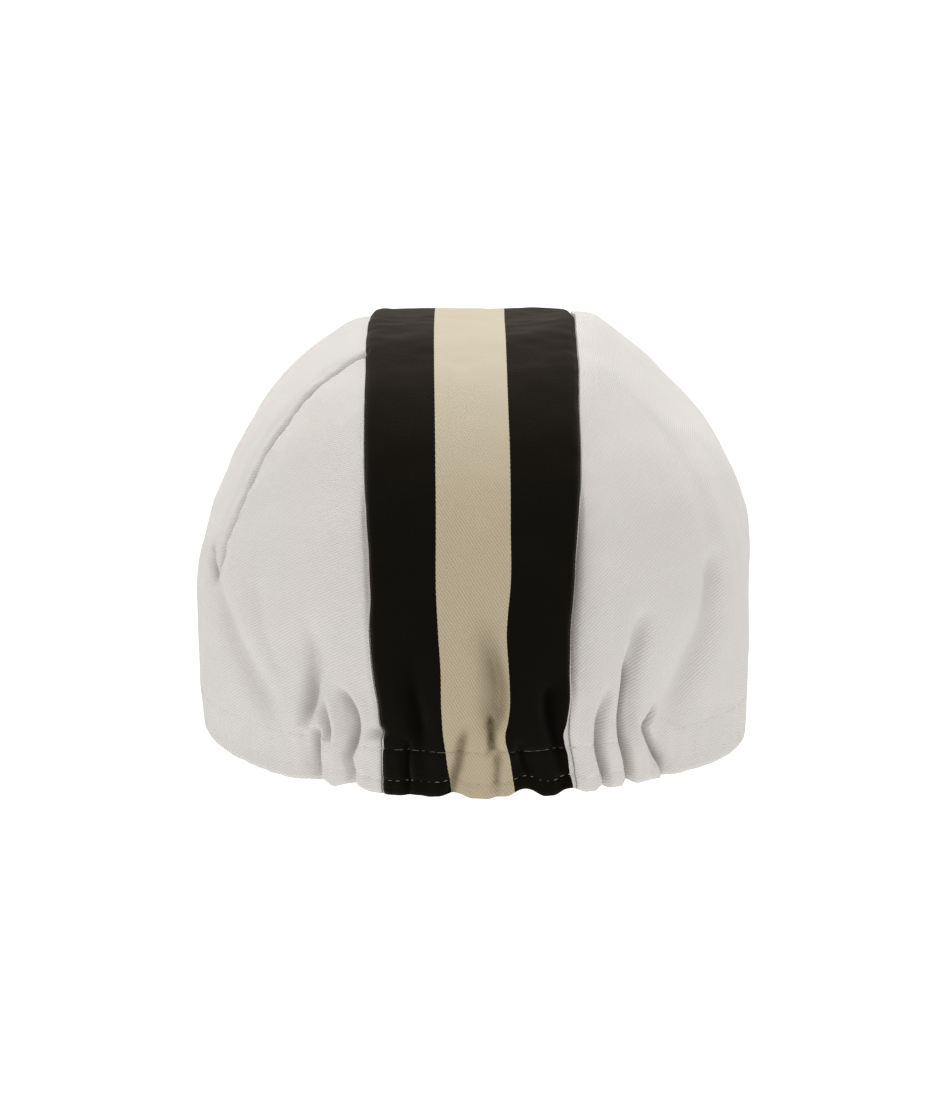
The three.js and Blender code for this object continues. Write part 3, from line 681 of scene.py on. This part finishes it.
def white_twill(name, pitch, has_dart):
    parts = new_material(name)
    start = parts[2]
    warm = noise(start, 26.0, 1.0)
    cloth = warm.mixed(linear((203, 200, 198)), linear((208, 202, 194)))
    # Painted shade, not a colour of the cloth: darker along the seam low down behind, in the sewn dart, in
    # deep folds and in the left dart's dimple.
    shade = crease_shade(start, "from_seam", "seam_shade", 0.3, 0.3)
    if has_dart:
        shade = shade + crease_shade(start, "from_dart", "dart_shade", 1.9, 0.3)
    fold_shade = carried(start, "fold_shade")
    cloth = (shade + fold_shade * 0.22).mixed(cloth, (0.05, 0.045, 0.04, 1.0))
    return cloth_finish(parts, twill_weave(start, 45, pitch, 0.3), cloth, 0.2, 0.92, 0.7)


SIDE_COLUMNS = 320
SIDE_ROWS = 148

# How the cloth beside the rear seam sinks in about halfway up, on each side: middle and spread of
# the stretch as heights, its strength, and the depths of the groove at the seam and of the trough
# beside it.
SEAM_SINK = {
    -1: {"height": 72, "spread": 17, "strength": 0.5, "groove": 1.4, "trough": 1.8},
    1: {"height": 60, "spread": 25, "strength": 1.0, "groove": 3.7, "trough": 3.2},
}
TROUGH_WIDTH = 8.0


def make_side_panel(name, side, rib_pitch):
    points, from_seam = side_grid(side, SIDE_COLUMNS, SIDE_ROWS)
    normals = crown_normal(points)
    from_dart, dart_strength, before_dart = from_line(points, normals, *fold_lines[DARTS[side]])
    z = points[..., 2]
    pucker = 0.3 * np.exp(-((from_dart / 5) ** 2)) * ripple(points, 6, 21) * (side < 0)
    pucker += 0.1 * np.exp(-((from_seam / 7) ** 2)) * ripple(points, 8, 22)
    behind = 1 - ease(np.abs(turn_of(points)), 60, 90)
    sink = SEAM_SINK[side]
    middle = sink["strength"] * behind * np.exp(-(((z - sink["height"]) / sink["spread"]) ** 4))
    groove = 0.6 - 0.4 * ease(z, 84, 96) + sink["groove"] * middle
    trough = edge_roll(from_seam, TROUGH_WIDTH, sink["trough"] * middle)
    roll = edge_roll(from_seam, 1 + middle, groove) + trough + hem_roll(points)
    full = 2.3 * np.exp(-((from_seam / 19) ** 2)) - 0.9 * np.exp(-((from_seam / 4) ** 2))
    fullness = full * ease(z, 104, 126) * (side > 0)
    outer, inner = layers(points, pucker + roll + fullness)
    # Painted shade darkens the cloth in the dimple at the end of the left dart.
    to_dimple = from_line(points, normals, *fold_lines["dimple of the left dart"])[0]
    dimple_shade = 1.8 * np.exp(-((to_dimple / 2.2) ** 2))
    attributes = {
        "weave": weave_map(points, side),
        "from_seam": from_seam,
        "seam_shade": (1 - ease(z, 14, 34)) * behind,
        "from_dart": np.where(before_dart, from_dart, -from_dart),
        "dart_shade": np.clip(dart_strength, 0, 1) * np.exp(-((from_dart / 6) ** 4)),
        # Painted shade: how deep the folds are, plus the dimple, darkens the colour.
        "fold_shade": np.clip((fold_depth(points, normals) - 1.5) / 4, 0, 1) + dimple_shade,
    }
    piece = cloth_object(name, outer, inner, attributes)
    piece.data.materials.append(white_twill(name.replace("panel", "twill"), rib_pitch, side < 0))
    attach(piece, "root")
    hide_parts(name.replace("cloth_", ""))
    return piece


make_side_panel("cloth_side_panel_left", -1, 0.64)
make_side_panel("cloth_side_panel_right", 1, 0.71)

# Centre panel. One strip of the same twill from the rear hem to the front one, printed with a
# black, a sand and a black stripe. The print stops a little short of the seams, so the bare cloth
# shows as a thin white line there. The strip lies flatter than the dome and stands proud on top.
FLAT_TOP = 0.2
TOP_START = 0.2
PANEL_PROUD = 1.4
PROUD_EDGE = 0.07
TOP_RELIEF = ((0, 0.9), (0.2, 0.7), (0.35, 0.85), (0.5, 0.05), (0.65, -0.4), (0.8, 0.15), (1, 0.9))
PRINT_MARGIN = 0.06

# The print's lines: share of the way along, and millimetres from the middle. Behind, they were
# measured in the photograph.
PRINT_LEFT = (
    (0, -28.9), (0.033, -28.9), (0.045, -28.7), (0.056, -28.2), (0.066, -28.8), (0.077, -29.2),
    (0.1, -30), (0.116, -31), (0.135, -31.8), (0.167, -32.6), (0.2, -32.6), (0.226, -33.1),
    (0.259, -34.2), (0.32, -35.6), (0.4, -35), (0.455, -34.7), (0.52, -33.6), (0.6, -33.5), (1, -30.3))
SAND_LEFT = (
    (0, -7.5), (0.026, -8.2), (0.047, -8.8), (0.067, -9.6), (0.09, -10.0), (0.133, -10.2),
    (0.163, -10.8), (0.2, -11.4), (0.253, -11.7), (0.354, -12.5), (0.458, -12.7), (0.6, -12.5),
    (1, -10.5))
SAND_RIGHT = (
    (0, 12.6), (0.025, 11.6), (0.047, 10.5), (0.057, 9.6), (0.067, 9.4), (0.077, 10.1), (0.089, 10.7),
    (0.114, 10.7), (0.133, 10.2), (0.163, 9.5), (0.176, 9.7), (0.2, 10.4), (0.253, 10.5), (0.318, 10.7),
    (0.386, 10.3), (0.458, 9.9), (0.6, 10), (1, 10.5))
PRINT_RIGHT = (
    (0, 31), (0.022, 29.8), (0.045, 28.9), (0.056, 28), (0.066, 27.6), (0.077, 28.4), (0.1, 29.3),
    (0.135, 29.4), (0.16, 29.25), (0.2, 29.8), (0.225, 30.1), (0.29, 32), (0.325, 32.8), (0.362, 33),
    (0.4, 33.1), (0.451, 32.1), (0.52, 32), (0.6, 32), (1, 29.6))

# Columns of the grid across the bare edges and the three stripes, and rows along them.
PRINT_STEPS = (3, 28, 28, 28, 3)
PANEL_ROWS = 400


def panel_grid(rows):
    """Unfolded points of the centre panel, how far it stands proud, and its print and weave."""
    t = np.linspace(0, 1, rows + 1)
    angle = math.pi * (t - 0.35 * np.sin(2 * math.pi * t) / (2 * math.pi))
    left, right = -seam_x(angle, -1), seam_x(angle, 1)
    lines = [smooth_table(table, angle / math.pi)
             for table in (PRINT_LEFT, SAND_LEFT, SAND_RIGHT, PRINT_RIGHT)]
    lines[0] = np.maximum(lines[0], left + PRINT_MARGIN)
    lines[3] = np.minimum(lines[3], right - PRINT_MARGIN)
    knots = np.stack([left, *lines, right], -1)
    stripe = [np.linspace(number, number + 1, steps, endpoint=False)
              for number, steps in enumerate(PRINT_STEPS)]
    stripe = np.append(np.concatenate(stripe), len(PRINT_STEPS))
    low = np.minimum(stripe.astype(int), len(PRINT_STEPS) - 1)
    x = knots[:, low] + (knots[:, low + 1] - knots[:, low]) * (stripe - low)
    angle = angle[:, None]
    top = ease(np.sin(angle), TOP_START, 1)
    power = side_power(angle)

    def height_share(value):
        return (1 - (np.abs(value) / HALF_WIDTH) ** power) ** (1 / power)

    across = (x - left[:, None]) / (right - left)[:, None]
    seam_share = height_share(left[:, None]) * (1 - across) + height_share(right[:, None]) * across
    share = seam_share + (height_share(x) - seam_share) * (1 + (FLAT_TOP - 1) * top)
    radius = profile_radius(angle) * share
    points = np.stack([x, -radius * np.cos(angle), radius * np.maximum(np.sin(angle), 0)], -1)
    edge = np.minimum(across, 1 - across)
    proud = PANEL_PROUD * top * np.sqrt(ease(edge, 0, PROUD_EDGE))
    proud += top**3 * smooth_table(TOP_RELIEF, across)
    from_seam = np.minimum(x - left[:, None], right[:, None] - x)
    middle = len(stripe) // 2
    steps = np.linalg.norm(np.diff(points[:, middle], axis=0), axis=-1)
    length = np.concatenate([[0], np.cumsum(steps)])[:, None] + 0 * x
    weave = np.stack([x, length, 0 * x], -1)
    return points, proud, from_seam, stripe[None, :] + 0 * x, weave


def printed_twill():
    parts = new_material("printed_twill")
    _, shader, start = parts
    stripe = carried(start, "stripe")
    weave_parts = twill_weave(start, 121, 0.8, 0.3)
    fray = (weave_parts[1] - 0.5) * 0.004
    place = stripe + fray
    black = (place > 1.0) - (place > 2.0) + (place > 3.0) - (place > 4.0)
    sand = (place > 2.0) - (place > 3.0)
    high = carried(start, "high")
    # Painted light: the sand print turns lighter and paler toward the top, where the light from above falls
    # on it.
    sand_with_painted_top_light = high.mixed(linear((182, 168, 142)), linear((185, 176, 157)))
    cloth = sand.mixed(linear(WHITE_CLOTH), sand_with_painted_top_light)
    # Painted sheen: the black print turns lighter and browner toward the top, more on the ribs, as light
    # grazing from above makes it.
    painted_top_sheen = high * high * (weave_parts[1] * 1.5 + 0.25)
    black_with_painted_sheen = painted_top_sheen.mixed(linear((16, 14, 10)), linear((30, 26, 21)))
    cloth = black.mixed(cloth, black_with_painted_sheen)
    # Painted shade: the print darkens in deep folds, much more on the black than on the sand and white.
    fold_shade = carried(start, "fold_shade")
    cloth = (fold_shade * (black * 0.68 + 0.12)).mixed(cloth, (0.001, 0.001, 0.001, 1.0))
    inside = carried(start, "inside")
    cloth = (inside * 0.55).mixed(cloth, linear(WHITE_CLOTH))
    material = cloth_finish(parts, weave_parts, cloth, 0.3, 0.9, 0.7, high * (1 - black) * 0.8)
    shader.inputs["Sheen Weight"].default_value = 0.14
    shader.inputs["Sheen Roughness"].default_value = 0.42
    shader.inputs["Sheen Tint"].default_value = linear((255, 240, 222))
    shader.inputs["Specular IOR Level"].default_value = 0.01
    return material


points, proud, from_seam, stripe, weave = panel_grid(PANEL_ROWS)
fall = 1 - 0.6 * ease(points[..., 2], 90, 130)
deep = 0.9 + 0.7 * ease(points[..., 2], 16, 34)
roll = edge_roll(from_seam, 0.9, deep * fall) + hem_roll(points)
pucker = 0.1 * np.exp(-((from_seam / 6) ** 2)) * ripple(points, 8, 31)
crinkle = 0.13 * ease(points[..., 2], 112, 132) * ripple(points * np.array([0.45, 1, 1]), 5, 33)
outer, inner = layers(points, proud + roll + pucker + crinkle)
attributes = {
    # Share of height near the top, where the print takes painted light and painted sheen and its weave
    # fades.
    "stripe": stripe, "weave": weave, "high": ease(points[..., 2], 75, 135),
    # How deep the folds are, used as painted shade on the print's colour.
    "fold_shade": np.clip(fold_depth(points, crown_normal(points)) / 2.4, 0, 1),
}
centre_panel = cloth_object("cloth_centre_panel", outer, inner, attributes)
centre_panel.data.materials.append(printed_twill())
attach(centre_panel, "root")
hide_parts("centre_panel")

# Hem band. The cloth's lower edge is turned in and sewn down as a channel that holds the elastic
# at the rear and a plain tape in front, so a second layer stands just behind the panels.
HEM_THICK = 2.0
HEM_CLEARANCE = 0.15
HEM_COLUMNS = 900
HEM_LEVELS = 26
MEAN_RADIUS = 95

turns = np.linspace(-180, 180, HEM_COLUMNS, endpoint=False)
heights = np.linspace(0, HEM_DEPTH, HEM_LEVELS)
columns = np.stack([
    crown_at(turns, np.zeros(turns.shape), height) for height in heights], 1)
band_face = layers(columns, 0.0, CLOTH + HEM_CLEARANCE)[1]
normals = crown_normal(columns)
thick = HEM_THICK - 0.15 * ripple(columns * np.array([1, 1, 0.3]), 11, 41) ** 2
from_edge = np.minimum(heights, HEM_DEPTH - heights)[None, :]
rounding = 0.8 * np.exp(-((from_edge / 0.7) ** 2))
back_face = band_face - normals * (thick - rounding)[..., None]
flat = np.zeros(thick.shape)
weave = np.stack([np.radians(turns)[:, None] * MEAN_RADIUS + flat, columns[..., 2], flat], -1)
hem_band = cloth_object("cloth_hem_band", band_face, back_face, {"weave": weave}, ring=True)


def plain_twill(name, direction):
    parts = new_material(name)
    return cloth_finish(parts, twill_weave(parts[2], direction), linear(WHITE_CLOTH), 0.16, 0.93, 0.5)


hem_band.data.materials.append(plain_twill("hem_twill", 50))
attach(hem_band, "root")
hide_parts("hem_band")

# Peak. A stiff core covered with white twill above and below, sewn under the front hem and
# topstitched along its edge. It slopes down to an outer edge that rests on the table.
PEAK_THICK = 3.0
PEAK_CORNER = 60.0
CORNER_WIDTH = 4.0
ROUND_PEAK = 2.6
UNDER_HEM = 0.3
PEAK_COLUMNS = 220
PEAK_ROWS = 60


def peak_rows(across_steps, out_steps):
    share = np.linspace(-1, 1, across_steps + 1)
    turn = 180 - share * PEAK_CORNER
    low = crown_at(turn, np.zeros(turn.shape), 0.0)
    place = settled(low) - crown_normal(low) * (CLOTH + UNDER_HEM + HEM_THICK)
    corner = settled(crown_at(180 - PEAK_CORNER, 0.0, 0.0))
    power = 2 / ROUND_PEAK
    half_span = corner[0] + CORNER_WIDTH / 2
    start = corner[1] - CORNER_WIDTH
    swing = math.pi / 2 * share
    outer_x = np.sign(share) * half_span * np.abs(np.sin(swing)) ** power
    outer_y = start + (FRONT_REACH + PEAK_REACH - start) * np.abs(np.cos(swing)) ** power
    out = np.linspace(0, 1, out_steps + 1)[None, :]
    x = place[:, :1] + (outer_x[:, None] - place[:, :1]) * out
    y = place[:, 1:2] + (outer_y[:, None] - place[:, 1:2]) * out
    height = place[:, 2:] - UNDER_HEM
    slope = 1 - np.abs(share[:, None]) ** 8
    z = height + (PEAK_THICK - height) * out * slope
    return np.stack([x, y, z], -1), share, out


top, share, out = peak_rows(PEAK_COLUMNS, PEAK_ROWS)
reach = np.linalg.norm(top[:, -1] - top[:, 0], axis=-1)[:, None]
from_rim = np.minimum((1 - out) * reach, (1 - np.abs(share))[:, None] * 90)
roundness = 1.2 * np.exp(-((from_rim / 0.9) ** 2))
top[..., 2] -= roundness
under = top.copy()
under[..., 2] -= PEAK_THICK - 2 * roundness
weave = top * np.array([1, 1, 0])
peak = cloth_object("cloth_peak", top, under, {"weave": weave})
peak.data.materials.append(plain_twill("peak_twill", 50))
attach(peak, "root")
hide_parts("peak")

# Stitches. Two rows of machine stitches hold the hem's channel all the way round, the upper one in
# long dashes and the lower one in short dots. The thread is white, and where it sinks into the dark
# print only a thin dull line of it shows. Two more rows follow the peak's edge.
ROW_LIFT = 0.03
WHITE_THREAD = 0.16
PEAK_INSETS = (3.0, 9.0)
BARE_ENDS = 6

# Rows of hem stitches: name, height, pitch, length and the thread's width in the print, all in
# millimetres, and unevenness.
HEM_STITCHES = (
    ("upper", HEM_ROWS[1], 2.9, 2.5, 0.08, 0.35),
    ("lower", HEM_ROWS[0], 2.6, 1.0, 0.12, 0.7),
)

# Turns in degrees at which a hem row goes onto the print and off it again, behind and then in front.
ROW_TURNS = (-17.4, 18.1, 163.2, 196.8, 342.6)


def stitch_tree():
    """Geometry nodes that lay one slim stitch after another along a curve."""
    tree = bpy.data.node_groups.new("stitch_row", "GeometryNodeTree")
    sockets = (
        ("Geometry", "NodeSocketGeometry"), ("Pitch", "NodeSocketFloat"), ("Length", "NodeSocketFloat"),
        ("Thread", "NodeSocketFloat"), ("Unevenness", "NodeSocketFloat"), ("Seed", "NodeSocketInt"),
        ("Material", "NodeSocketMaterial"))
    for name, kind in sockets:
        tree.interface.new_socket(name, in_out="INPUT", socket_type=kind)
    tree.interface.new_socket("Geometry", in_out="OUTPUT", socket_type="NodeSocketGeometry")
    given = tree.nodes.new("NodeGroupInput")

    def add(kind, links, settings=None, values=None):
        made = tree.nodes.new(kind)
        for key, value in (settings or {}).items():
            setattr(made, key, value)
        for key, value in (values or {}).items():
            made.inputs[key].default_value = value
        for key, socket in links.items():
            tree.links.new(socket, made.inputs[key])
        return made

    places = add(
        "GeometryNodeResampleCurve",
        {"Curve": given.outputs["Geometry"], "Length": given.outputs["Pitch"]}, {"mode": "LENGTH"})
    along = add("GeometryNodeInputTangent", {})
    turned = add("FunctionNodeAlignRotationToVector", {"Vector": along.outputs[0]}, {"axis": "X"})
    least = add("ShaderNodeMath", {1: given.outputs["Unevenness"]}, {"operation": "SUBTRACT"}, {0: 1.0})
    most = add("ShaderNodeMath", {1: given.outputs["Unevenness"]}, {"operation": "ADD"}, {0: 1.0})
    uneven = add(
        "FunctionNodeRandomValue", {2: least.outputs[0], 3: most.outputs[0], "Seed": given.outputs["Seed"]},
        {"data_type": "FLOAT"})
    size = add(
        "ShaderNodeCombineXYZ",
        {0: given.outputs["Length"], 1: given.outputs["Thread"], 2: given.outputs["Thread"]})
    scale = add(
        "ShaderNodeVectorMath", {0: size.outputs[0], "Scale": uneven.outputs[1]}, {"operation": "SCALE"})
    thread = add("GeometryNodeMeshUVSphere", {}, values={"Segments": 8, "Rings": 6, "Radius": 0.5})
    laid = add("GeometryNodeInstanceOnPoints", {
        "Points": places.outputs[0], "Instance": thread.outputs[0],
        "Rotation": turned.outputs[0], "Scale": scale.outputs[0]})
    real = add("GeometryNodeRealizeInstances", {0: laid.outputs[0]})
    smooth = add("GeometryNodeSetShadeSmooth", {0: real.outputs[0]})
    painted = add(
        "GeometryNodeSetMaterial", {0: smooth.outputs[0], "Material": given.outputs["Material"]})
    result = tree.nodes.new("NodeGroupOutput")
    tree.links.new(painted.outputs[0], result.inputs[0])
    return tree


def thread_material(name, dull, bright):
    material, shader, start = new_material(name)
    twist = noise(start, 900.0, 1.0)
    cloth = twist.mixed(linear(dull), linear(bright))
    material.node_tree.links.new(cloth.socket, shader.inputs["Base Color"])
    bump = start.node(
        "ShaderNodeBump", {"Height": twist, "Strength": 0.5, "Distance": 0.0001}, output="Normal")
    material.node_tree.links.new(bump.socket, shader.inputs["Normal"])
    shader.inputs["Roughness"].default_value = 0.65
    return material


row_tree = stitch_tree()
white_thread = thread_material("white_thread", (190, 186, 178), (222, 218, 210))
sunk_thread = thread_material("sunk_thread", (88, 84, 76), (150, 144, 132))


def stitch_row(name, path, node, material, pitch, length, thread, unevenness, seed):
    """Lays stitches along a path in millimetres and leaves them as a plain mesh."""
    curve = bpy.data.curves.new(name + "_path", "CURVE")
    curve.dimensions = "3D"
    spline = curve.splines.new("POLY")
    spline.points.add(len(path) - 1)
    spline.points.foreach_set("co", np.column_stack([in_frame(path), np.ones(len(path))]).ravel())
    guide = new_object(name + "_path", curve)
    modifier = guide.modifiers.new("stitches", "NODES")
    modifier.node_group = row_tree
    values = {
        "Pitch": pitch * MILLIMETRE, "Length": length * MILLIMETRE, "Thread": thread * MILLIMETRE,
        "Unevenness": unevenness, "Seed": seed, "Material": material}
    for item in row_tree.interface.items_tree:
        if item.in_out == "INPUT" and item.name in values:
            modifier[item.identifier] = values[item.name]
    seen = guide.evaluated_get(bpy.context.evaluated_depsgraph_get())
    mesh = bpy.data.meshes.new_from_object(seen)
    guide.modifiers.remove(modifier)
    bpy.data.objects.remove(guide)
    mesh.name = name
    piece = new_object(name, mesh)
    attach(piece, "root")
    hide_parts(node)
    return piece


def hem_path(height, first_turn, last_turn):
    turns = np.linspace(first_turn, last_turn, int(last_turn - first_turn) * 7)
    row = crown_at(turns, np.zeros(turns.shape), height)
    return layers(row, ROW_LIFT)[0]


for name, height, pitch, length, thread, unevenness in HEM_STITCHES:
    for number, (first, last) in enumerate(zip(ROW_TURNS, ROW_TURNS[1:])):
        on_print = number % 2 == 0
        stitch_row(
            f"stitches_{name}_{number + 1}", hem_path(height, first, last),
            "centre_panel" if on_print else "hem_band", sunk_thread if on_print else white_thread,
            pitch, length, thread if on_print else WHITE_THREAD, unevenness, 3 + number)
for number, inset in enumerate(PEAK_INSETS):
    shares = 1 - inset / reach[:, 0]
    path = np.array([[np.interp(shares[column], out[0], top[column, :, axis]) for axis in range(3)]
                     for column in range(BARE_ENDS, len(top) - BARE_ENDS)])
    path[:, 2] += ROW_LIFT
    stitch_row(
        f"stitches_peak_{number + 1}", path, "peak", white_thread, 2.9, 2.4, 0.28, 0.15, 5 + number)

# Stage: a white table that glows a little, as a lit sweep does, a wide soft light above, one more on
# each side, a weaker one behind the camera, and pale surroundings that fill the shadows.
FLOOR_SIZE = 40.0
floor_mesh = bpy.data.meshes.new("floor")
half = FLOOR_SIZE / 2
floor_mesh.from_pydata(
    [(-half, -half, 0), (half, -half, 0), (half, half, 0), (-half, half, 0)], [], [(0, 1, 2, 3)])
floor = new_object("floor", floor_mesh)
floor_material, floor_shader, _ = new_material("floor_white")
floor_shader.inputs["Base Color"].default_value = (0.12, 0.12, 0.12, 1.0)
floor_shader.inputs["Roughness"].default_value = 0.9
floor_shader.inputs["Emission Color"].default_value = (1.0, 1.0, 1.0, 1.0)
floor_shader.inputs["Emission Strength"].default_value = 1.12
floor_mesh.materials.append(floor_material)

world = bpy.data.worlds.new("surroundings")
world.use_nodes = True
background = world.node_tree.nodes["Background"]
background.inputs["Color"].default_value = (1.0, 1.0, 1.0, 1.0)
background.inputs["Strength"].default_value = 0.31
bpy.context.scene.world = world


def area_light(name, place, aim, size, power):
    light = bpy.data.lights.new(name, "AREA")
    light.shape = "SQUARE"
    light.size = size
    light.energy = power
    holder = new_object(name, light)
    holder.location = place
    holder.rotation_euler = (Vector(aim) - Vector(place)).to_track_quat("-Z", "Y").to_euler()


area_light("above", (0.0, 0.4, 1.2), (0, 0, 0.08), 1.0, 17)
area_light("left", (-1.4, -0.75, 0.65), (0, 0, 0.06), 1.5, 11.5)
area_light("right", (1.4, -0.75, 0.65), (0, 0, 0.06), 1.5, 10)
area_light("behind the camera", (0.0, -1.9, 0.9), (0, 0, 0.06), 1.4, 6.2)

# Camera: level with the photograph's, behind the cap and a little above it.
CAMERA_DISTANCE = 1.3
CAMERA_ELEVATION = math.radians(12)
CAMERA_AIM = CROWN_MIDDLE + Vector((-0.0029, 0.0, 0.0565))
CAMERA_LENS = 129.8
camera_data = bpy.data.cameras.new("camera")
camera_data.sensor_width = 36
camera_data.lens = CAMERA_LENS
camera = new_object("camera", camera_data)
back = Vector((0, -math.cos(CAMERA_ELEVATION), math.sin(CAMERA_ELEVATION)))
camera.location = CAMERA_AIM + back * CAMERA_DISTANCE
camera.rotation_euler = (-back).to_track_quat("-Z", "Y").to_euler()
bpy.context.scene.camera = camera
bpy.context.scene.view_settings.view_transform = "Standard"
